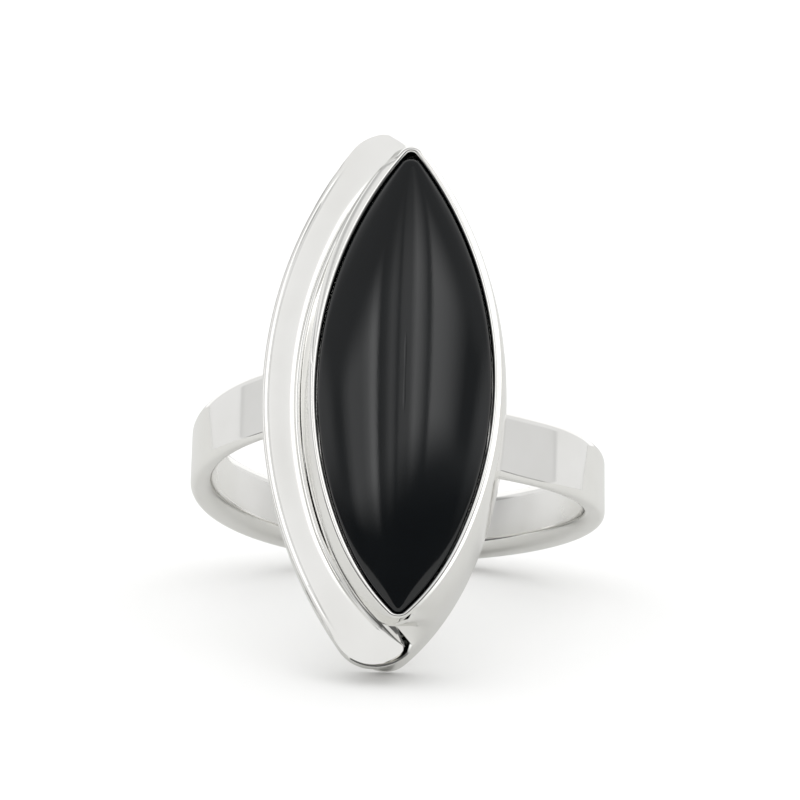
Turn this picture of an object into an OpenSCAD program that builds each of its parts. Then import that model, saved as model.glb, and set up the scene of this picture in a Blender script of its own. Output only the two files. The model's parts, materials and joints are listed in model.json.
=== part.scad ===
// A silver ring with a long pointed-oval agate.
// The ring is drawn upright round its finger hole, with the finger along Y and the head on +Z,
// and is then tipped over, as it lies when it is put down: on the blunt point of the head at -Y
// and on the front edge of the back of the shank. The origin is the centre of the finger hole.

/* [Finger hole and shank] */
// Diameter of the finger hole
hole_d = 18.1; // [15:0.1:20]
// Thickness of the shank at the two sides of the finger
shank_side_t = 1.2; // [1:0.05:1.8]
// Thickness of the shank at the back of the finger
shank_back_t = 2; // [1.5:0.05:2.4]
// Width of the shank at the back of the finger
shank_back_w = 3.1; // [2.4:0.1:4.5]
// Width of each end of the shank under the head
shank_head_w = 3; // [2.4:0.1:4.5]
// How far each end of the shank is swept along the finger under the head
shank_sweep = 1.2; // [0:0.1:1.6]

/* [Head] */
// Height of the head's underside above the finger hole
foot_gap = 0.25; // [0.1:0.05:0.35]
// Thickness of the plate under the head
plate_t = 0.7; // [0.5:0.05:1.2]
// Height of the ribbon's face above the head's underside
ribbon_rise = 2.9; // [2:0.1:3.4]
// Height of the bezel's rim above the head's underside
rim_rise = 4.5; // [4:0.1:6]
// Length of the head's underside between its two flattened points
foot_l = 24.6; // [24:0.1:24.9]
// Thickness of the outer wall that carries the ribbon
skirt_t = 0.5; // [0.4:0.05:0.8]

/* [Bezel] */
// Length of the opening for the stone, to its unrounded points
opening_l = 22.9; // [18:0.1:24]
// Width of the opening for the stone
opening_w = 8; // [7:0.1:9]
// Radius of the opening's upper point
opening_high_r = 0.3; // [0.3:0.05:0.6]
// Radius of the opening's lower point
opening_low_r = 1.1; // [0.3:0.05:1.2]
// Thickness of the bezel's wall at the sides of the stone
wall_t = 0.7; // [0.55:0.05:1]
// Width of the bezel's rim, where the wall is rubbed over
rim_w = 0.3; // [0.2:0.05:0.4]
// Height over which the wall is rubbed over
rim_slope_h = 0.8; // [0.5:0.05:1.2]
// Width of the ledge under the stone
ledge_w = 0.8; // [0.5:0.1:1.2]
// How far the bezel stands to the right of the finger's centre line
bezel_x = 0.3; // [0.2:0.05:0.4]
// Turn of the bezel, clockwise seen from above the stone, in degrees
bezel_turn = 0.6; // [0:0.1:1]

/* [Ribbon] */
// Farthest point of the ribbon's outer curve to the left of the finger's centre line
ribbon_reach = 6.2; // [6.1:0.05:6.4]
// Radius of the ribbon's outer curve
ribbon_r = 20.5; // [20:0.1:21]
// Width of the ribbon
ribbon_w = 1.9; // [1.8:0.05:2]
// Thickness of the ribbon
ribbon_t = 0.9; // [0.6:0.05:1.2]
// How far the ribbon's outer curve overhangs the wall under it
overhang = 0.4; // [0.2:0.05:0.5]
// Least width of the groove between the ribbon and the bezel
groove_w = 0.12; // [0.1:0.01:0.2]
// Thickness of the wall that the ribbon's two ends stop at
end_wall_t = 0.4; // [0.3:0.05:0.45]
// Gap between the ribbon's two ends and that wall
end_gap = 0.12; // [0.08:0.01:0.15]

/* [Stone] */
// Gap between the stone and the bezel
stone_gap = 0.1; // [0.05:0.01:0.15]
// Height of the stone's upright side
stone_side_h = 2; // [1.5:0.1:2.4]
// Height of the stone's dome above its side
dome_h = 1.8; // [1:0.1:2.4]
// How far past the stone's middle line the arc of each side of the dome has its top
keel = 0.4; // [0.2:0.05:0.8]
// How far the stone's side stops below the bezel's rim
side_below_rim = 0.3; // [0.1:0.05:0.6]

/* [Hidden] */
$fn = 180;
STEP = 0.02;
SPAN = 60;
LOW = -1;
HIGH = 1;

hole_r = hole_d / 2;
shank_r = hole_r + shank_side_t;
shank_drop = shank_back_t - shank_side_t;
shank_bottom = -shank_r - shank_drop;
shank_top = shank_r - shank_drop;

foot_z = hole_r + foot_gap;
ribbon_z = foot_z + ribbon_rise;
rim_z = foot_z + rim_rise;
slope_z = rim_z - rim_slope_h;
seat_z = rim_z - side_below_rim - stone_side_h;

// Every outline of the head is what two large discs share, with its two points rounded. A disc is
// [centre, radius]; the left disc bounds the left side, and the right disc the right side.
opening_r = (opening_l ^ 2 + opening_w ^ 2) / (4 * opening_w);
opening_c = opening_r - opening_w / 2;
bezel_across = [cos(bezel_turn), -sin(bezel_turn)];
opening_left = [[bezel_x, 0] + opening_c * bezel_across, opening_r];
opening_right = [[bezel_x, 0] - opening_c * bezel_across, opening_r];

// The wall at the right of the bezel is the right side of the whole head: it runs on past the
// stone's lower point, along a flatter arc than the opening's.
head_right_r = opening_r + 1.8;
head_right_reach = bezel_x + opening_w / 2 + wall_t;
head_right = [[head_right_reach - head_right_r, 0], head_right_r];
ribbon_outer = [[ribbon_r - ribbon_reach, 0], ribbon_r];
ribbon_inner = grown(ribbon_outer, -ribbon_w);

opening_tips = [opening_low_r, opening_high_r];
bezel_tips = [1.9, 1];
head_tips = [2.1, 2.1];
foot_tips = [for (r = head_tips) r - overhang];

// Where the flattened lower point of the head and the front edge of the shank's back lie, seen
// along X. The tip brings both to one height.
head_point = [-foot_l / 2, foot_z];
back_point = [-shank_back_w / 2, shank_bottom];
lie_angle = atan2(back_point.x - head_point.x, head_point.y - back_point.y);
tipped = 90 - lie_angle;

function grown(disc, g) = [disc[0], disc[1] + g];
function each_grown(radii, g) = [for (r = radii) r + g];

// Centre of a rounded point of radius r: the place that lies r inside both discs.
function tip_centre(left, right, r, side) =
    let(a = right[1] - r)
    let(b = left[1] - r)
    let(across = left[0] - right[0])
    let(d = norm(across))
    let(x = (d ^ 2 + a ^ 2 - b ^ 2) / (2 * d))
    let(u = across / d)
    right[0] + x * u + side * sqrt(a ^ 2 - x ^ 2) * [-u.y, u.x];

module disc_of(disc) {
    translate(disc[0]) circle(disc[1]);
}

// What two discs share, with sharp points.
module lens(left, right) {
    intersection() {
        disc_of(left);
        disc_of(right);
    }
}

// The corner, seen from a tip's centre, in which the rounded point replaces the two discs.
module tip_sector(left, right, tip) {
    polygon([tip, tip + (tip - right[0]) * 2, tip + (tip - left[0]) * 2]);
}

// What two discs share, with its lower and upper points rounded.
module oval(left, right, tips) {
    centres = [for (i = [0, 1]) tip_centre(left, right, tips[i], i == 0 ? LOW : HIGH)];
    difference() {
        lens(left, right);
        for (c = centres) {
            tip_sector(left, right, c);
        }
    }
    for (i = [0, 1]) {
        intersection() {
            translate(centres[i]) circle(tips[i], $fn = 48);
            tip_sector(left, right, centres[i]);
        }
    }
}

// The opening for the stone, grown by g.
module opening(g = 0) {
    oval(grown(opening_left, g), grown(opening_right, g), each_grown(opening_tips, g));
}

// The bezel's outer face, grown by g.
module bezel_outline(g = 0) {
    oval(grown(opening_left, wall_t + g), grown(head_right, g), each_grown(bezel_tips, g));
}

module head_outline() {
    oval(ribbon_outer, head_right, head_tips);
}

// The wall under the ribbon, drawn in by g on all sides. Its two points are flattened.
module foot_outline(g = 0) {
    intersection() {
        oval(grown(ribbon_outer, -overhang - g), grown(head_right, -g), each_grown(foot_tips, -g));
        square([SPAN, foot_l - 2 * g], center = true);
    }
}

// Half of the shank's width and sweep, seen along X: its centre line runs from the back of the
// finger to a point swept to one side under the head.
module half_shank_side(way) {
    swept = way * shank_sweep;
    polygon([
        [-shank_back_w / 2, shank_bottom - 1],
        [shank_back_w / 2, shank_bottom - 1],
        [shank_back_w / 2, shank_bottom],
        [swept + shank_head_w / 2, shank_top],
        [swept - shank_head_w / 2, shank_top],
        [-shank_back_w / 2, shank_bottom]
    ]);
}

module shank() {
    for (side = [-1, 1]) {
        intersection() {
            translate([0, 0, -shank_drop]) rotate([90, 0, 0]) cylinder(h = SPAN, r = shank_r, center = true);
            rotate([90, 0, 90])
            translate([0, 0, side < 0 ? -SPAN / 2 : 0])
            linear_extrude(SPAN / 2) half_shank_side(-side);
        }
    }
}

// The plate under the head and the wall that stands on its edge.
module head_cup() {
    translate([0, 0, foot_z]) linear_extrude(plate_t) foot_outline();
    translate([0, 0, foot_z]) linear_extrude(ribbon_rise) difference() {
        foot_outline();
        foot_outline(end_wall_t);
    }
    translate([0, 0, foot_z]) linear_extrude(ribbon_rise - ribbon_t / 2) difference() {
        foot_outline();
        foot_outline(skirt_t);
    }
}

// The ribbon lies on the outer wall, follows its left curve from point to point, and stops short
// of the wall that turns round the two points.
module ribbon() {
    translate([0, 0, ribbon_z - ribbon_t]) linear_extrude(ribbon_t) difference() {
        intersection() {
            head_outline();
            disc_of(grown(head_right, -end_wall_t - end_gap));
        }
        disc_of(ribbon_inner);
        bezel_outline(groove_w);
    }
}

// The bezel's body: upright, then rubbed over towards the rim.
module bezel_body() {
    left = grown(opening_left, wall_t);
    centres = [for (i = [0, 1]) tip_centre(left, head_right, bezel_tips[i], i == 0 ? LOW : HIGH)];
    translate([0, 0, foot_z]) linear_extrude(slope_z - foot_z) bezel_outline();
    difference() {
        intersection() {
            rubbed_disc(left);
            rubbed_disc(head_right);
        }
        for (c = centres) {
            tip_prism(left, c);
        }
    }
    for (i = [0, 1]) {
        intersection() {
            rubbed_disc([centres[i], bezel_tips[i]]);
            tip_prism(left, centres[i]);
        }
    }
}

module rubbed_disc(disc) {
    translate([disc[0].x, disc[0].y, slope_z])
    cylinder(h = rim_slope_h, r1 = disc[1], r2 = disc[1] - wall_t + rim_w);
}

module tip_prism(left, c) {
    translate([0, 0, foot_z]) linear_extrude(SPAN) tip_sector(left, head_right, c);
}

// The stone's seat is open to the rim. Below it a ledge carries the stone over a hollow.
module bezel() {
    difference() {
        bezel_body();
        translate([0, 0, seat_z]) linear_extrude(SPAN) opening();
        translate([0, 0, foot_z + plate_t]) linear_extrude(SPAN)
            lens(grown(opening_left, -ledge_w), grown(opening_right, -ledge_w));
    }
}

module silver_ring() {
    color("gainsboro") lying() difference() {
        union() {
            shank();
            head_cup();
            ribbon();
            bezel();
        }
        rotate([90, 0, 0]) cylinder(h = SPAN, r = hole_r, center = true);
    }
}

// One half of the dome: a round arc turned about the centre of that side's disc. The arc's top
// lies just past the stone's middle line, so that the two halves meet in a soft keel.
module dome_disc(disc) {
    top_r = opening_c - keel;
    half_w = disc[1] - stone_gap - top_r;
    arc_r = (half_w ^ 2 + dome_h ^ 2) / (2 * dome_h);
    translate([disc[0].x, disc[0].y, seat_z + STEP]) rotate_extrude() intersection() {
        translate([top_r, stone_side_h + dome_h - arc_r]) circle(arc_r);
        translate([opening_c - half_w, 0]) square([2 * half_w, stone_side_h + dome_h + 1]);
    }
}

module agate_stone() {
    color([0.07, 0.08, 0.09]) lying() intersection() {
        dome_disc(opening_left);
        dome_disc(opening_right);
        translate([0, 0, foot_z]) linear_extrude(SPAN) opening(-stone_gap);
    }
}

// Tips the upright ring over onto the head's point.
module lying() {
    rotate([tipped, 0, 0]) children();
}

silver_ring();
agate_stone();
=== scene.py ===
"""Looks of a silver ring with a long pointed-oval black agate.

The ring is shaped upright round its finger hole, in millimetres: X to the right, Y along the finger
and Z out of the stone. Its meshes are then tipped over onto the head's lower point, as the frame's
finger hole says, and turned into metres.
"""

import json
import logging
import math
from dataclasses import dataclass
from enum import Enum
from typing import NamedTuple, Sequence

import bmesh
import bpy
from bmesh.types import BMEdge, BMesh, BMVert
from bpy.types import Material, NodeSocket, Object
from mathutils import Matrix, Vector


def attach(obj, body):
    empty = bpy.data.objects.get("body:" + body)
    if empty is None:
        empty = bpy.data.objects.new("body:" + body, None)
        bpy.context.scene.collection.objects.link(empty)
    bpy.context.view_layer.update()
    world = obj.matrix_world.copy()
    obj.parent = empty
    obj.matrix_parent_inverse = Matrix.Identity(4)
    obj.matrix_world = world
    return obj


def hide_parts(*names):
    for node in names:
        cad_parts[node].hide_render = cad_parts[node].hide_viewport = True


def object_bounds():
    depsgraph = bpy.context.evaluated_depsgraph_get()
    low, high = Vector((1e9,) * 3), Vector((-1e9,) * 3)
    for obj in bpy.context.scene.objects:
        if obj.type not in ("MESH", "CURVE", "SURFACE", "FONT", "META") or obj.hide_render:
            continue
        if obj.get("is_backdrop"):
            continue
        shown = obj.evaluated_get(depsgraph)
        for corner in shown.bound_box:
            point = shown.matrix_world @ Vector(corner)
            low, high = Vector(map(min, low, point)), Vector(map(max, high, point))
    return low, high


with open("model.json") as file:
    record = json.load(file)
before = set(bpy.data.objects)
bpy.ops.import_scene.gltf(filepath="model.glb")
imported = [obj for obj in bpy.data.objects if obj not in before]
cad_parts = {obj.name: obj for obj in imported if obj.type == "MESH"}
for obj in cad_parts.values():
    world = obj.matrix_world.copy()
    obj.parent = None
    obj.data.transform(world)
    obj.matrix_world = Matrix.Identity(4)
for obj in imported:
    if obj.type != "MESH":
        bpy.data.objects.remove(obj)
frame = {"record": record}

LOG = logging.getLogger("agate_ring")
MM = 0.001
HALF_TURN_DEG = 180.0
UP = Vector((0.0, 0.0, 1.0))

# The faces' attribute that marks the band's inner side.
INSIDE = "inside"

# Distance in millimetres under which two places count as one.
NEAR = 1e-3

# Edges along each side of an oval and round each of its points.
SIDE_STEPS = 96
TIP_STEPS = 20

Loop = list[BMEdge]
Pair = tuple[float, float]
Colour = tuple[float, float, float]
Box = Sequence[Sequence[float]]


class Slot(Enum):
    """The record's material slots."""

    SILVER = "polished_silver"
    AGATE = "black_agate"


class Node(Enum):
    """The frame's nodes."""

    RING = "silver_ring"
    STONE = "agate_stone"


class Side(Enum):
    """The two points of a long oval."""

    LOW = -1
    HIGH = 1


@dataclass(frozen=True)
class Lie:
    """How the upright ring is tipped over when it is put down.

    Attributes:
        tip: Turn about X, in radians, from the upright ring to the lying one.
    """

    tip: float

    @classmethod
    def of_hole(cls, record: dict) -> "Lie":
        """Reads the turn from the finger hole's axis.

        Args:
            record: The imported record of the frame.

        Returns:
            The turn that brings Y onto the finger hole's axis.
        """
        axis = record["mounts"][0]["axis"]
        return cls(math.atan2(axis[2], axis[1]))

    def matrix(self) -> Matrix:
        """Returns the matrix from upright millimetres to lying metres."""
        return Matrix.Rotation(self.tip, 4, "X") @ Matrix.Scale(MM, 4)


def on_plan(x: float, y: float) -> Vector:
    """Returns a point of the plane in which the outlines are drawn."""
    return Vector((x, y, 0.0))


def smooth_step(x: float, low: float, high: float) -> float:
    """Returns 0 up to low and 1 from high on, with a smooth turn between them."""
    t = max(0.0, min(1.0, (x - low) / (high - low)))
    return t * t * (3 - 2 * t)


@dataclass(frozen=True)
class Disc:
    """A large disc whose edge is one side of an oval, in millimetres."""

    x: float
    y: float
    r: float

    @property
    def centre(self) -> Vector:
        """The disc's centre."""
        return on_plan(self.x, self.y)

    def grown(self, by: float) -> "Disc":
        """Returns the disc with a larger radius."""
        return Disc(self.x, self.y, self.r + by)

    def towards(self, at: Vector) -> Vector:
        """Returns the point of the edge that lies in a point's direction from the centre."""
        return self.centre + (at - self.centre).normalized() * self.r

    def right_edge(self, y: float) -> Vector:
        """Returns the point at which the edge crosses a height along the finger on the right."""
        return on_plan(self.x + math.sqrt(self.r**2 - (y - self.y) ** 2), y)

    def depth(self, at: Vector) -> float:
        """Returns how far inside the edge a point lies, seen from above."""
        return self.r - (on_plan(at.x, at.y) - self.centre).length


def meeting(a: Disc, b: Disc, side: Side) -> Vector:
    """Finds a point where two discs' edges cross.

    Args:
        a: The first disc.
        b: The second disc.
        side: Which of the two crossings is meant, the lower or the upper one.

    Returns:
        The point.
    """
    across = a.centre - b.centre
    d = across.length
    x = (d * d + b.r**2 - a.r**2) / (2 * d)
    off = math.sqrt(max(b.r**2 - x * x, 0.0))
    u = across / d
    found = [b.centre + x * u + s * off * on_plan(-u.y, u.x) for s in (-1, 1)]
    return max(found, key=lambda p: side.value * p.y)


@dataclass(frozen=True)
class Stretch:
    """A stretch of an outline, drawn from where the last one ends.

    Attributes:
        centre: The arc's centre, or None for a straight line.
        to: The line's end, or a point in whose direction from the centre the arc ends.
        steps: How many edges it has.
        rise: How far it climbs.
    """

    centre: Vector | None
    to: Vector
    steps: int
    rise: float = 0.0


@dataclass(frozen=True)
class Oval:
    """What two discs share, with its two points rounded.

    Attributes:
        left: The disc whose edge is the left side.
        right: The disc whose edge is the right side.
        low_r: Radius of the lower point.
        high_r: Radius of the upper point.
    """

    left: Disc
    right: Disc
    low_r: float
    high_r: float

    def grown(self, by: float) -> "Oval":
        """Moves the oval outwards on all sides, and keeps its points from being quite sharp.

        Args:
            by: How far it is moved.

        Returns:
            The larger oval.
        """
        least_r = 0.02
        low_r, high_r = (max(r + by, least_r) for r in (self.low_r, self.high_r))
        return Oval(self.left.grown(by), self.right.grown(by), low_r, high_r)

    def tip_centre(self, side: Side) -> Vector:
        """Returns the centre of a rounded point: it lies the point's radius inside both discs."""
        r = self.low_r if side is Side.LOW else self.high_r
        return meeting(self.left.grown(-r), self.right.grown(-r), side)

    def start(self) -> Vector:
        """Returns where the left side ends and the lower point begins."""
        return self.left.towards(self.tip_centre(Side.LOW))

    def loop(self, bm: BMesh, z: float) -> Loop:
        """Draws the oval into a mesh, anticlockwise from the lower point's left end.

        Args:
            bm: The mesh that takes the loop.
            z: The loop's height.

        Returns:
            The closed loop's edges.
        """
        low, high = self.tip_centre(Side.LOW), self.tip_centre(Side.HIGH)
        left, right = self.left.centre, self.right.centre
        start = self.start()
        start.z = z
        return outline(
            bm,
            start,
            (
                Stretch(low, low + (low - right), TIP_STEPS),
                Stretch(right, high, SIDE_STEPS),
                Stretch(high, high + (high - left), TIP_STEPS),
                Stretch(left, low, SIDE_STEPS),
            ),
        )


def outline(bm: BMesh, start: Vector, stretches: Sequence[Stretch]) -> Loop:
    """Spins a vertex along the stretches of a closed outline.

    Args:
        bm: The mesh that takes the outline.
        start: Where it starts.
        stretches: Its stretches, the last of which ends at the start.

    Returns:
        The closed loop's edges.
    """
    drawn = bmesh.new()
    first = last = drawn.verts.new(start)
    for stretch in stretches:
        last = spun(drawn, last, stretch)
    bmesh.ops.weld_verts(drawn, targetmap={last: first})
    return added(drawn, bm)


def signed_angle(before: Vector, after: Vector) -> float:
    """Returns the turn about +Z from one direction to another, at most half a turn either way."""
    turn = math.atan2(after.y, after.x) - math.atan2(before.y, before.x)
    return (turn + math.pi) % (2 * math.pi) - math.pi


def spun(bm: BMesh, start: BMVert, stretch: Stretch) -> BMVert:
    """Spins one vertex along a stretch.

    Args:
        bm: The mesh.
        start: The vertex at the stretch's start.
        stretch: The arc or line to draw.

    Returns:
        The vertex at the stretch's end.
    """
    lift = Vector((0.0, 0.0, stretch.rise / stretch.steps))
    if stretch.centre is None:
        centre, angle = start.co.copy(), 0.0
        along = (stretch.to - start.co) / stretch.steps
        lift = Vector((along.x, along.y, lift.z))
    else:
        centre = stretch.centre
        angle = signed_angle(start.co - centre, stretch.to - centre)
    made = bmesh.ops.spin(
        bm, geom=[start], cent=centre, axis=UP, dvec=lift, angle=angle, steps=stretch.steps
    )
    return next(g for g in made["geom_last"] if isinstance(g, BMVert))


def added(drawn: BMesh, bm: BMesh) -> Loop:
    """Moves a drawing into another mesh.

    Args:
        drawn: The drawing, which is freed.
        bm: The mesh that takes it.

    Returns:
        The drawing's edges in that mesh.
    """
    known = len(bm.edges)
    carrier = bpy.data.meshes.new("drawing")
    drawn.to_mesh(carrier)
    drawn.free()
    bm.from_mesh(carrier)
    bpy.data.meshes.remove(carrier)
    bm.edges.ensure_lookup_table()
    return [bm.edges[i] for i in range(known, len(bm.edges))]


def points_of(start: Vector, stretches: Sequence[Stretch]) -> list[Vector]:
    """Works out the points of a closed outline.

    Args:
        start: Where it starts.
        stretches: Its stretches, the last of which ends at the start.

    Returns:
        The points in order.
    """
    spare = bmesh.new()
    outline(spare, start, stretches)
    points = [v.co.copy() for v in spare.verts]
    spare.free()
    return points


def loop_verts(loop: Loop) -> list[BMVert]:
    """Returns the vertices of a loop of edges, each once."""
    return list(dict.fromkeys(v for e in loop for v in e.verts))


def rail_edges(bm: BMesh, rail: Sequence[BMVert]) -> Loop:
    """Returns the edges that join a closed row of vertices, in order."""
    return [bm.edges.get(ends) for ends in zip(rail, (*rail[1:], rail[0]))]


def laid_on(bm: BMesh, rail: Sequence[BMVert], points: Sequence[Vector]) -> list[BMVert]:
    """Extrudes a closed loop and lays the new loop on given points, one for each vertex.

    Args:
        bm: The mesh.
        rail: The loop's vertices in order.
        points: Where the new vertices go, in the same order.

    Returns:
        The new loop's vertices in order.
    """
    made = bmesh.ops.extrude_edge_only(bm, edges=rail_edges(bm, rail))["geom"]
    new = {g for g in made if isinstance(g, BMVert)}
    twins = [next(e.other_vert(v) for e in v.link_edges if e.other_vert(v) in new) for v in rail]
    for twin, at in zip(twins, points):
        twin.co = at
    return twins


def bridge(bm: BMesh, loops: Sequence[Loop], closed: bool = False) -> None:
    """Joins neighbouring loops by faces.

    Args:
        bm: The mesh.
        loops: The loops, in order along the wall's section.
        closed: Whether the last loop also joins the first.
    """
    pairs = list(zip(loops, loops[1:]))
    if closed:
        pairs.append((loops[-1], loops[0]))
    for a, b in pairs:
        bmesh.ops.bridge_loops(bm, edges=a + b)


def cap(bm: BMesh, loop: Loop) -> None:
    """Closes a loop by one face."""
    bmesh.ops.contextual_create(bm, geom=loop)


def rounded(bm: BMesh, edges: Loop, by: float, steps: int) -> None:
    """Rounds edges off.

    Args:
        bm: The mesh.
        edges: Its sharp edges.
        by: How far the rounding reaches.
        steps: How many faces it has across.
    """
    bmesh.ops.bevel(
        bm, geom=edges, offset=by, offset_type="OFFSET", segments=steps, profile=0.5,
        affect="EDGES", clamp_overlap=True, material=-1,
    )


def finish_mesh(bm: BMesh, name: str, lie: Lie, material: Material, crease_deg: float = 38.0) -> Object:
    """Turns a bmesh into a piece of the ring.

    Args:
        bm: The mesh, upright and in millimetres. It is freed.
        name: The piece's name.
        lie: How the ring lies.
        material: The piece's finish.
        crease_deg: Edges sharper than this stay sharp, in degrees.

    Returns:
        The new object, at the origin, with its place in its mesh.
    """
    bmesh.ops.remove_doubles(bm, verts=bm.verts, dist=1e-5)
    bmesh.ops.recalc_face_normals(bm, faces=bm.faces)
    bmesh.ops.transform(bm, matrix=lie.matrix(), verts=bm.verts)
    for face in bm.faces:
        face.smooth = True
    mesh = bpy.data.meshes.new(name)
    bm.to_mesh(mesh)
    bm.free()
    mesh.set_sharp_from_angle(angle=math.radians(crease_deg))
    mesh.materials.append(material)
    obj = bpy.data.objects.new(name, mesh)
    bpy.context.scene.collection.objects.link(obj)
    return obj


def dress(obj: Object, node: Node) -> None:
    """Lets a piece ride on the ring and stand for a node, whose part it hides.

    Args:
        obj: The piece.
        node: The frame's node that it stands for.
    """
    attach(obj, "root")
    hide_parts(node.value)
    LOG.info("%s: %d faces, stands for %s", obj.name, len(obj.data.polygons), node.value)


class NodeTree:
    """Short ways to add and join nodes."""

    def __init__(self, tree: bpy.types.NodeTree) -> None:
        """Keeps the tree."""
        self.tree = tree

    def add(self, kind: str, **values: object) -> bpy.types.Node:
        """Adds a node and sets its properties and inputs.

        Args:
            kind: The node's type.
            values: Properties by name, and inputs by name with spaces as underscores.

        Returns:
            The node.
        """
        made = self.tree.nodes.new(kind)
        for key, value in values.items():
            label = key.replace("_", " ")
            if label in made.inputs:
                made.inputs[label].default_value = value
            else:
                setattr(made, key, value)
        return made

    def join(self, a: NodeSocket, b: NodeSocket) -> None:
        """Links two sockets."""
        self.tree.links.new(a, b)

    def feed(self, sockets: Sequence[NodeSocket], values: Sequence[object]) -> None:
        """Gives each input its value, which is a socket or a number.

        Args:
            sockets: The inputs.
            values: Their values, in the same order.
        """
        for socket, value in zip(sockets, values):
            if isinstance(value, NodeSocket):
                self.join(value, socket)
            else:
                socket.default_value = value

    def math(self, operation: str, a: object, b: object = 0.0) -> NodeSocket:
        """Adds a Math node.

        Args:
            operation: The node's operation.
            a: The first operand, a socket or a number.
            b: The second operand, likewise.

        Returns:
            The result's socket.
        """
        made = self.add("ShaderNodeMath", operation=operation)
        self.feed(made.inputs, (a, b))
        return made.outputs[0]

    def mix(self, share: NodeSocket, a: object, b: object) -> NodeSocket:
        """Adds a mix of two values.

        Args:
            share: How much of the second value is taken.
            a: The first value, a socket or a number.
            b: The second value, likewise.

        Returns:
            The result's socket.
        """
        made = self.add("ShaderNodeMix", data_type="FLOAT")
        self.feed((made.inputs[0], *made.inputs[2:4]), (share, a, b))
        return made.outputs[0]

    def span(
        self, value: NodeSocket, source: Pair, target: Pair = (0.0, 1.0), smooth: bool = True
    ) -> NodeSocket:
        """Maps a span of values onto another one and holds what lies outside of it.

        Args:
            value: The value.
            source: The span's two ends.
            target: What they become.
            smooth: Whether the ends are eased.

        Returns:
            The result's socket.
        """
        made = self.add(
            "ShaderNodeMapRange",
            interpolation_type="SMOOTHSTEP" if smooth else "LINEAR",
            From_Min=source[0],
            From_Max=source[1],
            To_Min=target[0],
            To_Max=target[1],
        )
        self.join(value, made.inputs["Value"])
        return made.outputs["Result"]

    def ramp(self, place: NodeSocket, stops: Sequence[tuple[float, Colour]]) -> NodeSocket:
        """Adds a ramp of colours.

        Args:
            place: The place along the ramp, from 0 to 1.
            stops: The place and colour of each stop, with the two at the ramp's ends first.

        Returns:
            The colour's socket.
        """
        made = self.add("ShaderNodeValToRGB")
        known = made.color_ramp.elements
        for i, (at, colour) in enumerate(stops):
            stop = known[i] if i < 2 else known.new(at)
            stop.position = at
            stop.color = (*colour, 1)
        self.join(place, made.inputs["Fac"])
        return made.outputs["Color"]


@dataclass(frozen=True)
class Handling:
    """What handling leaves on a polished surface: faint hairlines and soft uneven wiping.

    Attributes:
        hairlines: Hairlines to a metre along X, Y and Z.
        turn: How they are turned, in radians.
        relief: Their height at full depth, in metres.
        wiping: Wiped patches to a metre.
    """

    hairlines: tuple[float, float, float] = (9000.0, 900.0, 2500.0)
    turn: tuple[float, float, float] = (0.3, 0.2, 0.5)
    relief: float = 0.00002
    wiping: float = 260.0

    def build(self) -> bpy.types.NodeTree:
        """Builds the effect.

        Returns:
            A group with the inputs Vector, Scale and Depth and the outputs Wiped and Normal.
        """
        group = bpy.data.node_groups.new("handling", "ShaderNodeTree")
        face = group.interface
        face.new_socket("Vector", in_out="INPUT", socket_type="NodeSocketVector")
        face.new_socket("Scale", in_out="INPUT", socket_type="NodeSocketFloat")
        face.new_socket("Depth", in_out="INPUT", socket_type="NodeSocketFloat")
        face.new_socket("Wiped", in_out="OUTPUT", socket_type="NodeSocketFloat")
        face.new_socket("Normal", in_out="OUTPUT", socket_type="NodeSocketVector")
        t = NodeTree(group)
        given, made = t.add("NodeGroupInput"), t.add("NodeGroupOutput")
        scaled = t.add("ShaderNodeVectorMath", operation="SCALE")
        t.join(given.outputs["Vector"], scaled.inputs[0])
        t.join(given.outputs["Scale"], scaled.inputs["Scale"])
        stretch = t.add("ShaderNodeMapping", Scale=self.hairlines, Rotation=self.turn)
        t.join(scaled.outputs[0], stretch.inputs["Vector"])
        lines = t.add("ShaderNodeTexNoise", Scale=1.0, Detail=3.0, Roughness=0.6)
        t.join(stretch.outputs[0], lines.inputs["Vector"])
        wiping = t.add("ShaderNodeTexNoise", Scale=self.wiping, Detail=4.0, Roughness=0.55)
        t.join(scaled.outputs[0], wiping.inputs["Vector"])
        bump = t.add("ShaderNodeBump", Distance=self.relief)
        t.join(given.outputs["Depth"], bump.inputs["Strength"])
        t.join(lines.outputs["Fac"], bump.inputs["Height"])
        t.join(wiping.outputs["Fac"], made.inputs["Wiped"])
        t.join(bump.outputs["Normal"], made.inputs["Normal"])
        return group


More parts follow.
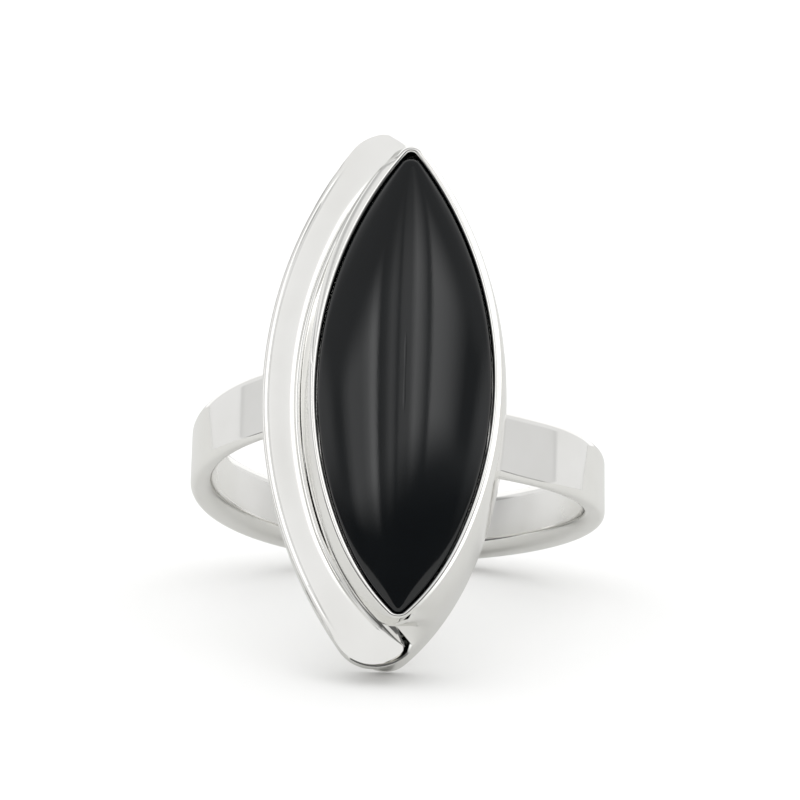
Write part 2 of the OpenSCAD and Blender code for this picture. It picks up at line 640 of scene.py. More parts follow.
@dataclass(frozen=True)
class Finish:
    """A polished surface whose tone and gloss change softly with how it has been wiped.

    Attributes:
        name: The material's name.
        plain: Colour where it is wiped least.
        wiped: Colour where it is wiped most.
        plain_rough: Roughness where it is wiped least.
        wiped_rough: Roughness where it is wiped most.
        hairline_depth: Strength of the hairlines.
        hairline_scale: How many times finer than on the silver the marks of handling are.
        tone_span: The wiping between which the tone changes.
        gloss_span: The wiping between which the gloss changes.
        metallic: 1 for a metal, 0 for a stone.
        ior: Index of refraction.
        inside_rough: Roughness that the band's inner side has on top.
    """

    name: str
    plain: Colour
    wiped: Colour
    plain_rough: float
    wiped_rough: float
    hairline_depth: float
    hairline_scale: float = 1.0
    tone_span: Pair = (0.35, 0.65)
    gloss_span: Pair = (0.35, 0.65)
    metallic: float = 0.0
    ior: float = 1.5
    inside_rough: float = 0.0

    def make(self, handling: bpy.types.NodeTree) -> Material:
        """Builds the material.

        Args:
            handling: The group of hairlines and wiping.

        Returns:
            The material.
        """
        material = bpy.data.materials.new(self.name)
        material.use_nodes = True
        t = NodeTree(material.node_tree)
        shader = material.node_tree.nodes["Principled BSDF"]
        shader.inputs["Metallic"].default_value = self.metallic
        shader.inputs["IOR"].default_value = self.ior
        place = t.add("ShaderNodeTexCoord")
        worn = t.add(
            "ShaderNodeGroup", node_tree=handling, Scale=self.hairline_scale, Depth=self.hairline_depth
        )
        t.join(place.outputs["Object"], worn.inputs["Vector"])
        t.join(worn.outputs["Normal"], shader.inputs["Normal"])
        wiping = worn.outputs["Wiped"]
        tone = t.ramp(wiping, tuple(zip(self.tone_span, (self.plain, self.wiped))))
        t.join(tone, shader.inputs["Base Color"])
        rough = t.span(wiping, self.gloss_span, (self.plain_rough, self.wiped_rough), smooth=False)
        if self.inside_rough:
            inside = t.add("ShaderNodeAttribute", attribute_name=INSIDE)
            rough = t.math("ADD", rough, t.math("MULTIPLY", inside.outputs["Fac"], self.inside_rough))
        t.join(rough, shader.inputs["Roughness"])
        return material


@dataclass(frozen=True)
class SilverFinish(Finish):
    """Polished silver, duller inside the band."""

    name: str = "polished_silver"
    plain: Colour = (0.9, 0.895, 0.87)
    wiped: Colour = (0.94, 0.935, 0.915)
    plain_rough: float = 0.12
    wiped_rough: float = 0.07
    hairline_depth: float = 0.02
    metallic: float = 1.0
    inside_rough: float = 0.2


@dataclass(frozen=True)
class AgateFinish(Finish):
    """Polished black agate, with a faint cloudy depth."""

    name: str = "black_agate"
    plain: Colour = (0.0006, 0.002, 0.0032)
    wiped: Colour = (0.002, 0.0036, 0.005)
    plain_rough: float = 0.07
    wiped_rough: float = 0.1
    hairline_depth: float = 0.05
    hairline_scale: float = 0.7
    tone_span: Pair = (0.4, 0.65)
    ior: float = 1.56


@dataclass(frozen=True)
class Heights:
    """Heights of the head's parts above the finger hole's axis, in millimetres."""

    foot: float = 9.3
    ribbon: float = 12.2
    slope: float = 13.0
    rim: float = 13.8
    seat: float = 11.52


@dataclass(frozen=True)
class HeadPlan:
    """The head seen from above the stone: the discs that bound its outlines, in millimetres.

    Attributes:
        opening_l: Length of the opening for the stone, from point to point.
        opening_w: Its width.
        opening_tip_r: Radius of its points.
        bezel_x: Where its middle lies.
        bezel_turn_deg: How far it is turned clockwise, in degrees.
        wall_t: Thickness of the bezel's wall at its foot.
        ribbon_reach: How far the ribbon's outer edge lies left of the finger hole's axis.
        ribbon_r: Radius of that edge.
        right_flatter: How much larger the radius of the right side is than the opening's.
        head_tip_r: Radius of the head's points.
        blunt_from: Where the lower end begins to be drawn in.
        blunting: How strongly it is drawn in, for each millimetre.
    """

    opening_l: float = 22.9
    opening_w: float = 8.0
    opening_tip_r: float = 0.3
    bezel_x: float = 0.3
    bezel_turn_deg: float = 0.6
    wall_t: float = 0.7
    ribbon_reach: float = 6.2
    ribbon_r: float = 20.5
    right_flatter: float = 1.8
    head_tip_r: float = 2.1
    blunt_from: float = -7.0
    blunting: float = 0.032

    def drawn_in(self, y: float, share: float = 1.0) -> float:
        """Draws a height along the finger in at the lower end, which makes its point blunter.

        Args:
            y: The height.
            share: How much of the effect is wanted, from 0 to 1.

        Returns:
            The new height.
        """
        below = min(0.0, y - self.blunt_from)
        return y + share * self.blunting * below**2

    @property
    def opening_r(self) -> float:
        """Radius of each side of the opening for the stone."""
        return (self.opening_l**2 + self.opening_w**2) / (4 * self.opening_w)

    def opening(self) -> Oval:
        """Works out the opening for the stone.

        Returns:
            Its outline.
        """
        off = self.opening_r - self.opening_w / 2
        turn = math.radians(self.bezel_turn_deg)
        x, y = off * math.cos(turn), -off * math.sin(turn)
        left = Disc(self.bezel_x + x, y, self.opening_r)
        right = Disc(self.bezel_x - x, -y, self.opening_r)
        return Oval(left, right, self.opening_tip_r, self.opening_tip_r)

    def right_side(self) -> Disc:
        """Returns the disc of the wall at the head's right side."""
        r = self.opening_r + self.right_flatter
        return Disc(self.bezel_x + self.opening_w / 2 + self.wall_t - r, 0.0, r)

    def ribbon_side(self) -> Disc:
        """Returns the disc of the ribbon's outer edge."""
        return Disc(self.ribbon_r - self.ribbon_reach, 0.0, self.ribbon_r)

    def head(self) -> Oval:
        """Returns the outline of the whole head at the ribbon's height."""
        return Oval(self.ribbon_side(), self.right_side(), self.head_tip_r, self.head_tip_r)


@dataclass
class Piece:
    """What each piece of the ring is made with.

    Attributes:
        lie: How the ring lies.
        finish: The piece's material.
        plan: The head seen from above.
        z: The heights of the head's parts.
    """

    lie: Lie
    finish: Material
    plan: HeadPlan
    z: Heights


@dataclass
class Shank(Piece):
    """The round band, thicker at the back of the finger, its two ends swept apart under the head.

    Attributes:
        hole_r: Radius of the finger hole.
        outer_r: Radius of the outer side.
        drop: How far the outer side's centre lies behind the hole's.
        back_w: Width at the back of the finger.
        head_w: Width under the head.
        sweep: How far each end is swept along the finger.
        blend_x: Half of the stretch under the head in which one end passes into the other.
        straight_x: Where the outer side turns straight, next to the head.
        top_z: Height of the flat under the head.
        outer_round: Rounding of the outer edges.
        inner_round: Rounding of the inner edges.
        round_steps: Faces across a rounding.
        even_t: Thickness of the even band from which the real one is shaped.
        segments: Faces round the band.
    """

    hole_r: float = 9.05
    outer_r: float = 10.25
    drop: float = 0.8
    back_w: float = 3.22
    head_w: float = 3.18
    sweep: float = 1.2
    blend_x: float = 2.6
    straight_x: float = 6.9
    top_z: float = 9.45
    outer_round: float = 0.4
    inner_round: float = 0.64
    round_steps: int = 7
    even_t: float = 1.6
    segments: int = 320

    def thickness(self, angle: float) -> float:
        """Works out the band's thickness. Next to the head its outer side runs straight.

        Args:
            angle: The angle from the back of the finger.

        Returns:
            The thickness.
        """
        s = self.drop * math.sin(angle)
        round_r = self.drop * math.cos(angle) + math.sqrt(self.outer_r**2 - s * s)
        from_top = math.pi - abs(angle)
        face = math.asin(self.straight_x / self.outer_r)
        straight_z = math.sqrt(self.outer_r**2 - self.straight_x**2) - self.drop
        if from_top > math.atan2(self.straight_x, straight_z):
            return round_r - self.hole_r
        reach = self.straight_x * math.sin(face) + straight_z * math.cos(face)
        straight_r = reach / math.cos(from_top - face)
        return min(straight_r, self.top_z / math.cos(from_top)) - self.hole_r

    def build(self) -> Object:
        """Bridges four circles into a band, rounds its edges, then thins and sweeps it.

        Returns:
            The piece.
        """
        bm = bmesh.new()
        outer_r, half_w = self.hole_r + self.even_t, self.back_w / 2
        corners = ((self.hole_r, -half_w), (outer_r, -half_w), (outer_r, half_w), (self.hole_r, half_w))
        bridge(bm, [self._circle(bm, r, y) for r, y in corners], closed=True)
        for r, by in ((outer_r, self.outer_round), (self.hole_r, self.inner_round)):
            rounded(bm, [e for e in bm.edges if self._is_rim(e, r)], by, self.round_steps)
        self._mark_inside(bm)
        self._shape(bm)
        return finish_mesh(bm, "shank", self.lie, self.finish)

    def _circle(self, bm: BMesh, r: float, y: float) -> Loop:
        """Draws a circle round the finger.

        Args:
            bm: The mesh that takes it.
            r: Its radius.
            y: Its place along the finger.

        Returns:
            Its edges.
        """
        place = Matrix.Translation((0, y, 0)) @ Matrix.Rotation(math.pi / 2, 4, "X")
        made = bmesh.ops.create_circle(bm, cap_ends=False, segments=self.segments, radius=r, matrix=place)
        return list(dict.fromkeys(e for v in made["verts"] for e in v.link_edges))

    def _is_rim(self, edge: BMEdge, r: float) -> bool:
        """Tells whether an edge runs along one of the even band's sharp rims.

        Args:
            edge: The edge.
            r: The rims' radius.

        Returns:
            Whether it does.
        """
        a, b = (v.co for v in edge.verts)
        at_r = all(abs(math.hypot(co.x, co.z) - r) < NEAR for co in (a, b))
        at_side = all(abs(abs(co.y) - self.back_w / 2) < NEAR for co in (a, b))
        return at_r and at_side and a.y * b.y > 0

    def _mark_inside(self, bm: BMesh) -> None:
        """Marks the faces that lie on the finger hole's wall.

        Args:
            bm: The even band's mesh.
        """
        inside = bm.faces.layers.float.new(INSIDE)
        for face in bm.faces:
            far = max(math.hypot(v.co.x, v.co.z) for v in face.verts)
            face[inside] = 1.0 if far < self.hole_r + NEAR else 0.0

    def _shape(self, bm: BMesh) -> None:
        """Thins the even band towards the head and sweeps its two halves apart.

        Args:
            bm: The band's mesh.
        """
        for v in bm.verts:
            angle = math.atan2(v.co.x, -v.co.z)
            rise = (1 - math.cos(angle)) / 2
            share = (math.hypot(v.co.x, v.co.z) - self.hole_r) / self.even_t
            r = self.hole_r + share * self.thickness(angle)
            side = math.copysign(1.0, v.co.x)
            if v.co.z > 0:
                side = max(-1.0, min(1.0, v.co.x / self.blend_x))
            width = 1 + (self.head_w / self.back_w - 1) * rise
            y = v.co.y * width - side * self.sweep * rise
            v.co = Vector((r * math.sin(angle), y, -r * math.cos(angle)))


@dataclass(frozen=True)
class Tongue:
    """The end of the bezel's left wall, which runs on past the lower point to the hook.

    Attributes:
        side: The disc along its left side.
        start: A point in whose direction from the disc's centre that side starts.
        end: The same for its end.
        hook: Where the tongue meets the outer wall's hook.
        inner: The corner inside the bezel.
        steps: Edges along the four sides.
        drop: How far its top lies under the bezel's slope.
        fall: How much lower its end lies.
        falls_from: Height along the finger below which it falls.
        softened: Rounding of its upper edges.
    """

    side: Disc = Disc(8.46, -1.85, 12.76)
    start: Pair = (-1.3, -9.9)
    end: Pair = (0.6, -11.78)
    hook: Pair = (0.12, -10.95)
    inner: Pair = (-0.5, -9.9)
    steps: tuple[int, int, int, int] = (24, 8, 10, 6)
    drop: float = 0.1
    fall: float = 0.66
    falls_from: float = -10.7
    softened: float = 0.05

    def draw(self, bm: BMesh, low: float, slope: float) -> None:
        """Raises the tongue from its outline.

        Args:
            bm: The bezel's mesh.
            low: Height of the tongue's foot.
            slope: Height of the bezel's slope.
        """
        spare = bmesh.new()
        start = self.side.towards(on_plan(*self.start))
        end, hook, inner = (on_plan(*at) for at in (self.end, self.hook, self.inner))
        rows = zip((self.side.centre, None, None, None), (end, hook, inner, start), self.steps)
        outline(spare, Vector((start.x, start.y, low)), [Stretch(*row) for row in rows])
        foot = list(spare.verts)
        span = self.falls_from - end.y
        falls = [max(0.0, min(1.0, (self.falls_from - v.co.y) / span)) for v in foot]
        tops = [Vector((v.co.x, v.co.y, slope - self.drop - self.fall * f)) for v, f in zip(foot, falls)]
        rail = laid_on(spare, foot, tops)
        cap(spare, rail_edges(spare, rail))
        cap(spare, rail_edges(spare, foot))
        rounded(spare, rail_edges(spare, rail), self.softened, 2)
        added(spare, bm)


class WallRow(NamedTuple):
    """A level of the bezel's section.

    Attributes:
        left: How far the wall lies outside the opening on the left.
        right: The same on the right.
        low_r: Radius of its lower point.
        high_r: Radius of its upper point.
        z: Its height.
    """

    left: float
    right: float
    low_r: float
    high_r: float
    z: float


@dataclass
class Bezel(Piece):
    """The wall round the stone, rubbed over towards its rim.

    Attributes:
        tongue: The left wall's end.
        rim_w: Width of the rim.
        groove_z: Height of the wall's foot.
        wider: How much wider the rim is at the upper left.
        wider_rows: The section's rows that this moves.
        wider_from: Heights along the finger between which the widening grows.
        wider_to: Heights along the finger between which it shrinks again.
        wider_across: Places across the ring between which it fades.
    """

    tongue: Tongue = Tongue()
    rim_w: float = 0.3
    groove_z: float = 10.4
    wider: float = 0.25
    wider_rows: tuple[int, int] = (4, 7)
    wider_from: Pair = (-1.0, 9.0)
    wider_to: Pair = (10.2, 11.2)
    wider_across: Pair = (0.0, 0.4)

    def _section(self) -> tuple[WallRow, ...]:
        """Lists the levels of the wall.

        Returns:
            The levels, from the wall's foot over the rim to the seat.
        """
        z, rim = self.z, self.rim_w
        return (
            WallRow(0.7, rim + 0.02, 0.9, 0.8, self.groove_z),
            WallRow(0.7, rim + 0.02, 0.9, 0.8, z.slope - 0.12),
            WallRow(0.68, rim + 0.02, 0.9, 0.8, z.slope - 0.03),
            WallRow(0.63, rim + 0.02, 0.9, 0.8, z.slope + 0.05),
            WallRow(rim + 0.06, rim + 0.01, 0.65, 0.65, z.rim - 0.2),
            WallRow(rim, rim, 0.6, 0.6, z.rim - 0.1),
            WallRow(rim - 0.05, rim - 0.05, 0.55, 0.55, z.rim - 0.03),
            WallRow(rim - 0.13, rim - 0.13, 0.47, 0.47, z.rim),
            WallRow(0.09, 0.09, 0.39, 0.39, z.rim - 0.01),
            WallRow(0.03, 0.03, 0.33, 0.33, z.rim - 0.06),
            WallRow(0.0, 0.0, 0.3, 0.3, z.rim - 0.16),
            WallRow(0.0, 0.0, 0.3, 0.3, z.seat - 0.2),
        )

    def build(self) -> Object:
        """Bridges the loops of the wall's section and adds the tongue.

        Returns:
            The piece.
        """
        bm = bmesh.new()
        opening = self.plan.opening()
        loops = []
        for row in self._section():
            left, right = opening.left.grown(row.left), opening.right.grown(row.right)
            loops.append(Oval(left, right, row.low_r, row.high_r).loop(bm, row.z))
        for loop in loops[slice(*self.wider_rows)]:
            self._widen(loop, opening.left.centre)
        for v in bm.verts:
            v.co.y = self.plan.drawn_in(v.co.y)
        bridge(bm, loops, closed=True)
        self.tongue.draw(bm, self.groove_z, self.z.slope)
        return finish_mesh(bm, "bezel", self.lie, self.finish)

    def _widen(self, loop: Loop, centre: Vector) -> None:
        """Widens a loop of the rim at its upper left.

        Args:
            loop: The loop.
            centre: The centre of its left side.
        """
        for v in loop_verts(loop):
            grown = smooth_step(v.co.y, *self.wider_from) * (1 - smooth_step(v.co.y, *self.wider_to))
            on_left = 1 - smooth_step(v.co.x, *self.wider_across)
            outwards = (on_plan(v.co.x, v.co.y) - centre).normalized()
            v.co += outwards * (self.wider * grown * on_left)


@dataclass(frozen=True)
class CupSteps:
    """Edges along each stretch of the head's outlines, the same in its foot and in its crest."""

    low_left: int = 4
    low: int = 16
    gap: int = 6
    hook: int = 8
    seam: int = 7
    side: int = 108
    over_tip: int = 4
    high: int = 16
    high_left: int = 4
    left: int = 96


@dataclass
class HeadCup(Piece):
    """The plate under the head and the wall that stands on its edge.

    The crest of the wall lies under the ribbon on the left and at the upper point. It comes up to the
    ribbon's level round the ribbon's lower end, climbs in a hook past the bezel's lower point, and
    follows the bezel's rim along the right side.

    Attributes:
        steps: Edges along each stretch of the outlines.
        foot_l: Length of the underside, whose points are cut off there.
        foot_low_r: Radius of its lower point.
        foot_high_r: Radius of its upper point.
        foot_blunting: How much of the plan's blunting it has.
        foot_marks: Heights along the finger at which the stretches under the hook end.
        softened: How far from each point the underside is smoothed.
        smoothings: How often it is smoothed.
        floor_in: Size of the cup's floor for each millimetre of the underside.
        plate_t: Thickness of the plate.
        wall_t: Thickness of the wall under the ribbon.
        overhang: How far the ribbon stands out over the wall.
        tuck: How far the crest lies under the ribbon's level there.
        flush_from: Where the wall begins to come out to the ribbon's edge, towards the lower point.
        leans: Rows of faces up the wall.
        soft_lean: Share of the wall's lean that is spread evenly, while the rest is at its top.
        shoulder: How far the wall's last row lies under the crest.
        shoulder_z: Share of that height by which the next row lies under it.
        shoulder_w: Share of the crest's width to which that row is drawn in.
        crest_w: Width of the crest.
        crest_drop: How far the crest lies under the bezel's rim.
        rim_w: Distance of the crest's inner edge from the opening.
        drawn_from: Share of the climb above which the crest is drawn in as the bezel is.
        low_way: Direction from the lower point's centre at which its arc starts.
        high_way: Direction from the upper point's centre at which its arc ends.
        gap_centre: Centre of the arc round the ribbon's lower end.
        gap_r: Radius of that arc.
        gap_spread: How much of the crest's width is added to it.
        gap_way: Direction at which the arc ends.
        hook_end: The hook's lower end.
        hook_start: Its upper end.
        hook_rise: How far it climbs.
        hook_way: Direction in which the crest has its width there.
        seam_at: Where the crest passes the bezel's lower point.
        seam_share: Share of the remaining climb that lies before that.
        side_low_y: Where the right side starts.
        side_high_y: Where it ends.
        over_tip: Where the crest passes the bezel's upper point.
        over_tip_way: Direction in which it has its width there, and how many times over.
        tip_drop: How far it has fallen there.
        tip_in: How far the upper point lies inside the head's outline.
        tip_way: Direction from its centre at which it is reached.
    """

    steps: CupSteps = CupSteps()
    foot_l: float = 24.6
    foot_low_r: float = 1.1
    foot_high_r: float = 1.7
    foot_blunting: float = 0.7
    foot_marks: tuple[float, float, float] = (-11.75, -11.1, -10.4)
    softened: float = 0.9
    smoothings: int = 12
    floor_in: float = 0.93
    plate_t: float = 0.7
    wall_t: float = 0.5
    overhang: float = 0.42
    tuck: float = 0.6
    flush_from: float = -8.0
    leans: int = 7
    soft_lean: float = 0.3
    shoulder: float = 0.07
    shoulder_z: float = 0.2
    shoulder_w: float = 0.6
    crest_w: float = 0.16
    crest_drop: float = 0.02
    rim_w: float = 0.22
    drawn_from: float = 0.6
    low_way: Pair = (-0.55, -0.83)
    high_way: Pair = (-0.5, 1.0)
    gap_centre: Pair = (-0.8, -10.7)
    gap_r: float = 1.96
    gap_spread: float = 0.6
    gap_way: Pair = (0.72, -0.69)
    hook_end: Pair = (0.74, -11.62)
    hook_start: Pair = (0.02, -10.93)
    hook_rise: float = 0.8
    hook_way: Pair = (0.63, -0.77)
    seam_at: Pair = (0.62, -10.86)
    seam_share: float = 0.6
    side_low_y: float = -10.85
    side_high_y: float = 11.25
    over_tip: Pair = (0.4, 11.6)
    over_tip_way: Pair = (2.4, 2.4)
    tip_drop: float = 1.0
    tip_in: float = 0.12
    tip_way: Pair = (0.3, 0.95)

    def build(self) -> Object:
        """Raises the foot's outline to the wall's crest in steps, folds it inwards and closes it.

        Returns:
            The piece.
        """
        bm = bmesh.new()
        foot = self._foot(bm)
        low = [v.co.copy() for v in foot]
        high = self._crest(self.crest_w)
        rail = foot
        for i in range(1, self.leans + 1):
            up = i / self.leans
            rail = laid_on(bm, rail, [self._leaning(a, b, up) for a, b in zip(low, high)])
        fold = self._crest(self.crest_w * self.shoulder_w)
        drop = Vector((0.0, 0.0, self.shoulder)) * self.shoulder_z
        rail = laid_on(bm, rail, [(a + b) / 2 - drop for a, b in zip(high, fold)])
        rail = laid_on(bm, rail, self._crest(0.0))
        size, floor_z = self.floor_in, self.z.foot + self.plate_t
        rail = laid_on(bm, rail, [Vector((p.x * size, p.y * size, floor_z)) for p in low])
        cap(bm, rail_edges(bm, rail))
        cap(bm, rail_edges(bm, foot))
        return finish_mesh(bm, "head_cup", self.lie, self.finish)

    def _leaning(self, low: Vector, high: Vector, up: float) -> Vector:
        """Finds a point of the wall, which leans out most at its top.

        Args:
            low: The point of the foot under it.
            high: The point of the crest over it.
            up: How far up it lies, from 0 to 1.

        Returns:
            The point.
        """
        out = self.soft_lean * up**2 + (1 - self.soft_lean) * up**5
        x, y = (a + (b - a) * out for a, b in zip(low.xy, high.xy))
        return Vector((x, y, low.z + (high.z - self.shoulder - low.z) * up))

    def _foot(self, bm: BMesh) -> list[BMVert]:
        """Draws the outline of the head's underside and softens its two points.

        Args:
            bm: The mesh that takes it.

        Returns:
            The outline's vertices in order.
        """
        n = self.steps
        left, right = self.plan.ribbon_side().grown(-self.overhang), self.plan.right_side()
        oval = Oval(left, right, self.foot_low_r, self.foot_high_r)
        low, high = oval.tip_centre(Side.LOW), oval.tip_centre(Side.HIGH)
        start = oval.start()
        start.z = self.z.foot
        marks = zip((*self.foot_marks, self.side_high_y), (n.gap, n.hook, 2 * n.seam, n.side))
        stretches = (
            Stretch(low, low + on_plan(*self.low_way), n.low_left),
            Stretch(low, low + (low - right.centre), n.low),
            *(Stretch(right.centre, right.right_edge(y), steps) for y, steps in marks),
            Stretch(right.centre, high, 2 * n.over_tip),
            Stretch(high, high + on_plan(*self.high_way), n.high),
            Stretch(high, high + (high - left.centre), n.high_left),
            Stretch(left.centre, low, n.left),
        )
        outline(bm, start, stretches)
        reach = self.foot_l / 2
        for v in bm.verts:
            v.co.y = self.plan.drawn_in(v.co.y, self.foot_blunting)
        ends = [v for v in bm.verts if abs(v.co.y) > reach - self.softened]
        for v in ends:
            v.co.y = max(-reach, min(reach, v.co.y))
        for _ in range(self.smoothings):
            bmesh.ops.smooth_vert(bm, verts=ends, factor=0.5, use_axis_x=True, use_axis_y=True)
        return list(bm.verts)

    def _crest(self, back: float) -> list[Vector]:
        """Works out one edge of the wall's crest.

        Args:
            back: How far the edge lies outside the crest's inner edge, where the crest is narrow.

        Returns:
            The edge's points in order.
        """
        z, plan, n = self.z, self.plan, self.steps
        under = self.wall_t if back == 0.0 else 0.0
        left = plan.ribbon_side().grown(-self.overhang - under)
        low, high = plan.head().tip_centre(Side.LOW), plan.head().tip_centre(Side.HIGH)
        rim = plan.opening().right.grown(self.rim_w + back)
        rise = z.rim - self.crest_drop - z.ribbon
        gap = on_plan(*self.gap_centre)
        gap_start = gap + on_plan(*self.low_way).normalized() * (self.gap_r + self.gap_spread * back)
        width = on_plan(*self.hook_way) * back
        climbing = (self.hook_end, self.hook_start, self.seam_at)
        hook_end, hook_start, seam = (on_plan(*at) + width for at in climbing)
        side_low, side_high = rim.right_edge(self.side_low_y), rim.right_edge(self.side_high_y)
        over_tip = on_plan(*self.over_tip) + on_plan(*self.over_tip_way) * back
        tip_r = plan.head_tip_r - self.tip_in - under
        tip = high + on_plan(*self.tip_way).normalized() * tip_r
        start = left.grown(self.overhang).towards(low)
        start.z = z.ribbon - self.tuck
        climb = rise - self.hook_rise
        stretches = (
            Stretch(None, gap_start, n.low_left, self.tuck),
            Stretch(gap, gap + on_plan(*self.gap_way), n.low),
            Stretch(None, hook_end, n.gap),
            Stretch(None, hook_start, n.hook, self.hook_rise),
            Stretch(None, seam, n.seam, climb * self.seam_share),
            Stretch(None, side_low, n.seam, climb * (1 - self.seam_share)),
            Stretch(rim.centre, side_high, n.side),
            Stretch(None, over_tip, n.over_tip, -self.tip_drop),
            Stretch(None, tip, n.over_tip, self.tip_drop - rise - self.tuck),
            Stretch(high, high + on_plan(*self.high_way), n.high),
            Stretch(None, left.towards(high), n.high_left),
            Stretch(left.centre, low, n.left),
        )
        points = points_of(start, stretches)
        for p in points[-n.left :]:
            out = self.overhang * smooth_step(-p.y, -self.flush_from, -low.y)
            p += (p - left.centre).to_2d().normalized().to_3d() * out
        for p in points:
            climbed = (p.z - z.ribbon - self.hook_rise) / climb
            p.y = plan.drawn_in(p.y, smooth_step(climbed, self.drawn_from, 1.0))
        return points


class RibbonRow(NamedTuple):
    """A row of the ribbon's section.

    Attributes:
        inward: How far it lies inside the ribbon's outline.
        outer_z: Its height over the ribbon's level on the outer side.
        inner_z: The same on the inner side.
    """

    inward: float
    outer_z: float
    inner_z: float


@dataclass
class Ribbon(Piece):
    """The flat strip that follows the stone's left side, with a narrow raised bead along its edges.

    Attributes:
        groove: Width of the groove between the ribbon and the bezel.
        end_r: Radius of the lower end.
        end_way: Direction in which it lies from the outer side's centre.
        corner_r: Radius of the sharp corners.
        inner_low: The disc of the inner side past the bezel's lower point.
        blend_w: Half of the width over which the outer side's height passes into the inner one's.
        plain_from: Distances along the finger between which the bead fades.
        least_plain: Height above which a row fades.
        high_cut: How much the upper end is cut back on its right.
        high_cut_from: Places across the ring between which the cut grows.
        high_cut_up: Heights along the finger between which it grows.
        steps: Edges along each long side.
        low_steps: Edges along the inner side's lower stretch.
        end_steps: Edges round each end.
        corner_steps: Edges round each corner.
        section: The rows, from the foot over the bead to the field.
    """

    groove: float = 0.05
    end_r: float = 1.86
    end_way: Pair = (-15.1, -10.7)
    corner_r: float = 0.3
    inner_low: Disc = Disc(8.46, -1.85, 12.71)
    blend_w: float = 0.28
    plain_from: Pair = (8.2, 11.9)
    least_plain: float = -0.07
    high_cut: float = 0.45
    high_cut_from: Pair = (-1.0, 0.5)
    high_cut_up: Pair = (11.6, 12.3)
    steps: int = 120
    low_steps: int = 40
    end_steps: int = 18
    corner_steps: int = 8
    section: tuple[RibbonRow, ...] = (
        RibbonRow(0.0, -0.9, -0.9),
        RibbonRow(0.0, -0.08, -0.115),
        RibbonRow(0.01, -0.04, -0.075),
        RibbonRow(0.04, -0.01, -0.045),
        RibbonRow(0.08, 0.0, -0.035),
        RibbonRow(0.15, 0.0, -0.035),
        RibbonRow(0.19, -0.008, -0.048),
        RibbonRow(0.22, -0.022, -0.062),
        RibbonRow(0.26, -0.006, -0.05),
        RibbonRow(0.36, -0.013, -0.036),
        RibbonRow(0.46, -0.018, -0.026),
        RibbonRow(0.6, -0.02, -0.02),
        RibbonRow(0.72, -0.02, -0.02),
        RibbonRow(0.8, -0.02, -0.02),
    )

    def build(self) -> Object:
        """Bridges the loops of the ribbon's section and closes its underside and its field.

        Returns:
            The piece.
        """
        bm = bmesh.new()
        loops = []
        for row in self.section:
            loop = self._loop(bm, row.inward)
            self._settle(loop, row)
            loops.append(loop)
        bridge(bm, loops)
        cap(bm, loops[0])
        cap(bm, loops[-1])
        return finish_mesh(bm, "ribbon", self.lie, self.finish)

    def _settle(self, loop: Loop, row: RibbonRow) -> None:
        """Sets the height of one loop of the section and cuts the upper end back.

        Args:
            loop: The loop.
            row: Its row of the section.
        """
        outer, bezel = self.plan.ribbon_side(), self._bezel_side()
        parting = meeting(self.inner_low, bezel, Side.LOW).y
        for v in loop_verts(loop):
            disc = self.inner_low if v.co.y < parting else bezel
            from_inner = -disc.depth(v.co)
            share = smooth_step(outer.depth(v.co) - from_inner, -self.blend_w, self.blend_w)
            height = row.outer_z + (row.inner_z - row.outer_z) * share
            plain = smooth_step(abs(v.co.y), *self.plain_from) if height > self.least_plain else 0.0
            v.co.z = self.z.ribbon + height * (1 - plain)
            if v.co.y > 0:
                cut = smooth_step(v.co.x, *self.high_cut_from) * smooth_step(v.co.y, *self.high_cut_up)
                v.co.y -= self.high_cut * cut

    def _bezel_side(self) -> Disc:
        """Returns the disc of the groove along the bezel."""
        return self.plan.opening().left.grown(self.plan.wall_t + self.groove)

    def _corner(self, a: Disc, b: Disc, inward: float, side: Side) -> Vector:
        """Finds the centre of a rounded corner that lies inside one disc and outside another.

        Args:
            a: The disc that it lies in.
            b: The disc that it lies outside of.
            inward: How far the loop lies inside the ribbon's outline.
            side: Which of the two discs' crossings is meant.

        Returns:
            The centre.
        """
        least_r = 0.004
        depth = max(inward + least_r, self.corner_r)
        return meeting(a.grown(-depth), b.grown(depth), side)

    def _loop(self, bm: BMesh, inward: float) -> Loop:
        """Draws the ribbon's outline.

        Args:
            bm: The mesh.
            inward: How far the loop lies inside the outline.

        Returns:
            The loop.
        """
        plan, inner = self.plan, self.inner_low
        outer, bezel = plan.ribbon_side(), self._bezel_side()
        high = plan.head().tip_centre(Side.HIGH)
        end_way = on_plan(*self.end_way).normalized()
        end_at = outer.centre + end_way * (outer.r - self.end_r)
        low_corner = self._corner(Disc(end_at.x, end_at.y, self.end_r), inner, inward, Side.LOW)
        high_corner = self._corner(Disc(high.x, high.y, plan.head_tip_r), bezel, inward, Side.HIGH)
        parting = meeting(inner.grown(inward), bezel.grown(inward), Side.LOW)
        stretches = (
            Stretch(outer.centre, outer.centre + end_way, self.steps),
            Stretch(end_at, low_corner, self.end_steps),
            Stretch(low_corner, low_corner + (inner.centre - low_corner), self.corner_steps),
            Stretch(inner.centre, parting, self.low_steps),
            Stretch(bezel.centre, high_corner, self.steps),
            Stretch(high_corner, high_corner + (high_corner - high), self.corner_steps),
            Stretch(high, high + (high - outer.centre), self.end_steps),
        )
        return outline(bm, outer.grown(-inward).towards(high), stretches)


